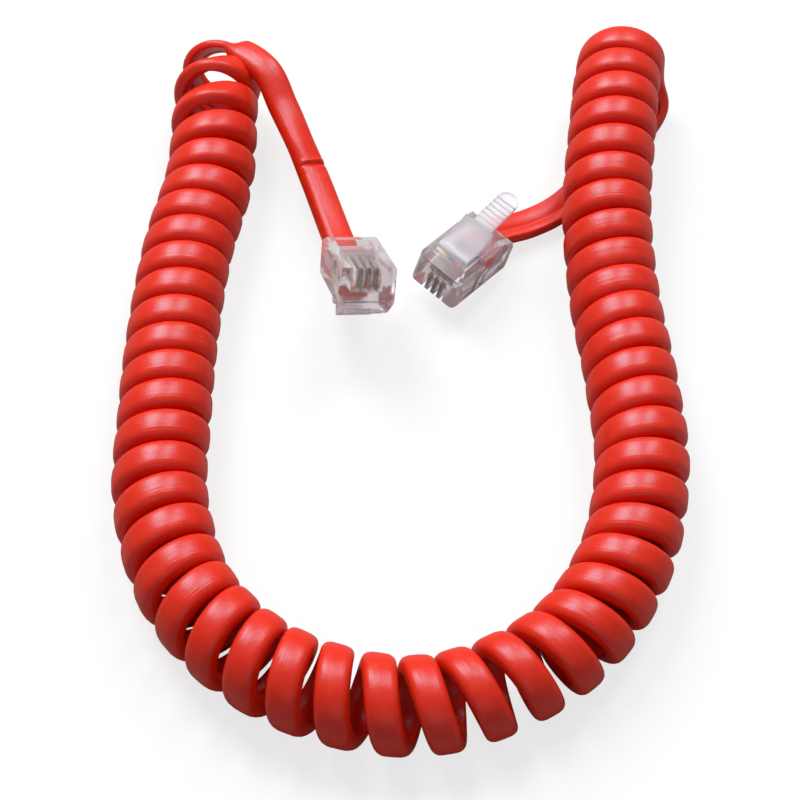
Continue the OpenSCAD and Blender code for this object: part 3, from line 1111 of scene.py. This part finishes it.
    def _conductor(self, slot: int, tone: Tone, look: Palette) -> None:
        """Makes one conductor's insulation, cut square over its copper strands.

        Args:
            slot: the slot's number, counted from the +Y side.
            tone: the insulation's colour.
            look: the finishes.
        """
        length = self.wire_end - self.jacket_in
        middle_slot = (len(self.tones) + 1) / 2
        y = (middle_slot - slot) * self.pitch
        node = f"plug_{self.key}_wire_{tone.value}"
        bm = self._sleeve(length)
        self._stand(bm, y)
        for face in bm.faces:
            face.smooth = True
        paint = look.insulation[tone]
        sleeve = as_piece(f"{node}_sleeve", bm, paint, "cord")
        keep_flats(sleeve)
        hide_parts(node)
        bm = self._strands(length)
        self._stand(bm, y)
        strands = as_piece(f"{node}_strands", bm, look.copper, "cord")
        self.pieces += [sleeve, strands]

    def _stand(self, bm: bmesh.types.BMesh, y: float) -> None:
        """Lays a conductor made along +Z into its channel in the plug.

        Args:
            bm: the conductor's bmesh.
            y: the conductor's place across the plug.
        """
        start = Matrix.Translation((self.jacket_in, y, self.wire_depth))
        lay = start @ Matrix.Rotation(math.pi / 2, 4, "Y")
        bmesh.ops.transform(bm, matrix=self.matrix @ lay, verts=bm.verts)

    def _raise_pad(self, bm: bmesh.types.BMesh) -> None:
        """Raises the smooth pad on the housing's sloping nose face.

        Args:
            bm: the housing's bmesh, with its flat faces whole.
        """
        rise = self.height - self.nose_flat
        slope_out = self.turn(Vector((rise, 0, self.nose_slope)).normalized())
        alike = 0.99
        face = max(bm.faces, key=lambda f: f.calc_area() * (f.normal.dot(slope_out) > alike))
        bmesh.ops.inset_region(bm, faces=[face], thickness=self.pad_margin)
        bmesh.ops.inset_region(bm, faces=[face], thickness=self.pad_edge, depth=self.pad_rise)

    def build(self, look: Palette) -> None:
        """Makes and dresses the plug's pieces.

        Args:
            look: the finishes.
        """
        name = f"plug_{self.key}"
        latch = f"latch_{self.key}"
        for part, edge, paint, body in (
            ("body", self.body_edge, look.clear, "cord"),
            ("latch", self.latch_edge, look.frosted, latch),
            ("clamp_bar", self.clamp_edge, look.clear, "cord"),
            ("wire_bar", self.wire_bar_edge, look.clear, "cord"),
        ):
            self._softened(f"{name}_{part}", edge, paint, body)
        for slot, tone in enumerate(self.tones, start=1):
            self._softened(
                f"{name}_contact_{slot}", self.contact_edge, look.gold, "cord"
            )
            self._conductor(slot, tone, look)
        place = tuple(round(v, 4) for v in self.at)
        log.info("%s: %d pieces at %s", name, len(self.pieces), place)


def keep_flats(piece: bpy.types.Object, weight: int = 80) -> None:
    """Keeps a rounded piece's flat faces flat under smooth shading.

    Args:
        piece: the piece, which gets a Weighted Normal modifier.
        weight: how strongly the large faces rule.
    """
    modifier = piece.modifiers.new("flat_faces", "WEIGHTED_NORMAL")
    modifier.keep_sharp = True
    modifier.weight = weight


# ---- the studio


@dataclass(frozen=True)
class Lamp:
    """One soft lamp: its name, its place and size in metres and its power in watts."""

    name: str
    at: tuple[float, float, float]
    size: tuple[float, float]
    power: float

    def hang(self) -> None:
        """Hangs the lamp so that it looks at the middle of the part."""
        data = bpy.data.lights.new(self.name, "AREA")
        data.shape = "RECTANGLE"
        data.size, data.size_y = self.size
        data.energy = self.power
        lamp = bpy.data.objects.new(self.name, data)
        lamp.location = self.at
        lamp.rotation_euler = (-Vector(self.at)).to_track_quat("-Z", "Y").to_euler()
        bpy.context.scene.collection.objects.link(lamp)


@dataclass
class Studio:
    """A pale table, soft lamps and the camera."""

    table_size: float = 6.0
    table_drop: float = 0.02 * MM
    elevation: float = 57.0
    camera_at: tuple[float, float, float] = (-0.0007, -0.1589, 0.2428)
    lens: float = 99.74
    sensor: float = 36.0
    clip: tuple[float, float] = (0.01, 50.0)
    paper: Colour = (0.96, 0.96, 0.96)
    bounced_paper: Colour = (0.36, 0.32, 0.30)
    glow_share: float = 0.75
    room: Colour = (0.97, 0.98, 1.0)
    room_strength: float = 0.2
    white_through_plastic: float = 0.8
    lamps: tuple[Lamp, ...] = (
        Lamp("window_left", (-0.34, 0.62, 0.86), (0.42, 0.6), 10.0),
        Lamp("window_right", (0.34, 0.60, 0.92), (0.28, 0.6), 5.7),
        Lamp("front_fill", (0.1, -1.1, 0.7), (0.8, 0.6), 0.8),
    )

    def add_camera(self) -> None:
        """Places the camera above the open side of the U."""
        data = bpy.data.cameras.new("camera")
        data.lens = self.lens
        data.sensor_width = self.sensor
        data.clip_start, data.clip_end = self.clip
        camera = bpy.data.objects.new("camera", data)
        camera.location = self.camera_at
        camera.rotation_euler = (math.radians(90 - self.elevation), 0, 0)
        bpy.context.scene.collection.objects.link(camera)
        bpy.context.scene.camera = camera

    def add_table(self) -> None:
        """Lays the table, white to the camera except for the part's own soft shadow."""
        bm = bmesh.new()
        bmesh.ops.create_grid(bm, x_segments=1, y_segments=1, size=self.table_size / 2)
        mesh = bpy.data.meshes.new("table")
        bm.to_mesh(mesh)
        bm.free()
        table = bpy.data.objects.new("table", mesh)
        table.location.z = -self.table_drop
        bpy.context.scene.collection.objects.link(table)
        material = bpy.data.materials.new("table_white")
        material.use_nodes = True
        board = NodeBoard(material.node_tree)
        paper = board.add("ShaderNodeBsdfDiffuse")
        glow = board.add("ShaderNodeEmission")
        rays = board.add("ShaderNodeLightPath").outputs
        bounced = board.math("MAXIMUM", rays["Is Diffuse Ray"], rays["Is Glossy Ray"])
        board.link(board.mix(bounced, self.paper, self.bounced_paper), paper.inputs["Color"])
        seen = board.math("MAXIMUM", rays["Is Camera Ray"], rays["Is Transmission Ray"])
        mix = board.add("ShaderNodeMixShader")
        board.link(board.math("MULTIPLY", seen, self.glow_share), mix.inputs["Fac"])
        board.link(paper.outputs["BSDF"], mix.inputs[1])
        board.link(glow.outputs["Emission"], mix.inputs[2])
        out = board.add("ShaderNodeOutputMaterial")
        board.link(mix.outputs["Shader"], out.inputs["Surface"])
        mesh.materials.append(material)

    def light(self) -> None:
        """Sets the lamps and the world, which is plain white where it is seen."""
        for lamp in self.lamps:
            lamp.hang()
        world = bpy.data.worlds.new("studio")
        bpy.context.scene.world = world
        world.use_nodes = True
        board = NodeBoard(world.node_tree)
        rays = board.add("ShaderNodeLightPath").outputs
        room = board.add("ShaderNodeBackground")
        room.inputs["Color"].default_value = (*self.room, 1.0)
        room.inputs["Strength"].default_value = self.room_strength
        plain = board.add("ShaderNodeBackground")
        plain.inputs["Color"].default_value = (1.0, 1.0, 1.0, 1.0)
        through = board.math("MULTIPLY", rays["Is Transmission Ray"], self.white_through_plastic)
        mix = board.add("ShaderNodeMixShader")
        board.link(board.math("MAXIMUM", rays["Is Camera Ray"], through), mix.inputs["Fac"])
        board.link(room.outputs["Background"], mix.inputs[1])
        board.link(plain.outputs["Background"], mix.inputs[2])
        out = board.add("ShaderNodeOutputWorld")
        board.link(mix.outputs["Shader"], out.inputs["Surface"])
        bpy.context.scene.view_settings.view_transform = "Standard"

    def build(self) -> None:
        """Sets up the whole studio."""
        self.add_camera()
        self.add_table()
        self.light()
        log.info("studio: table %.0f m, camera %.0f degrees up", self.table_size, self.elevation)


def main() -> None:
    """Builds the studio, the plugs and the cord in order."""
    logging.basicConfig(level=logging.INFO, format="%(name)s: %(message)s")
    Studio().build()
    look = Palette(SharedEffects())
    plug_a = ModularPlug(
        PlugSide.A,
        turns=(167, -31, -74.1),
        tones=(Tone.YELLOW, Tone.GREEN, Tone.RED, Tone.BLACK),
    )
    plug_b = ModularPlug(
        PlugSide.B,
        turns=(-8, -13, 231),
        tones=(Tone.BLACK, Tone.RED, Tone.GREEN, Tone.YELLOW),
    )
    for plug in (plug_a, plug_b):
        plug.build(look)
    CurlyCord().build(plug_a, plug_b, look)


if __name__ == "__main__":
    main()
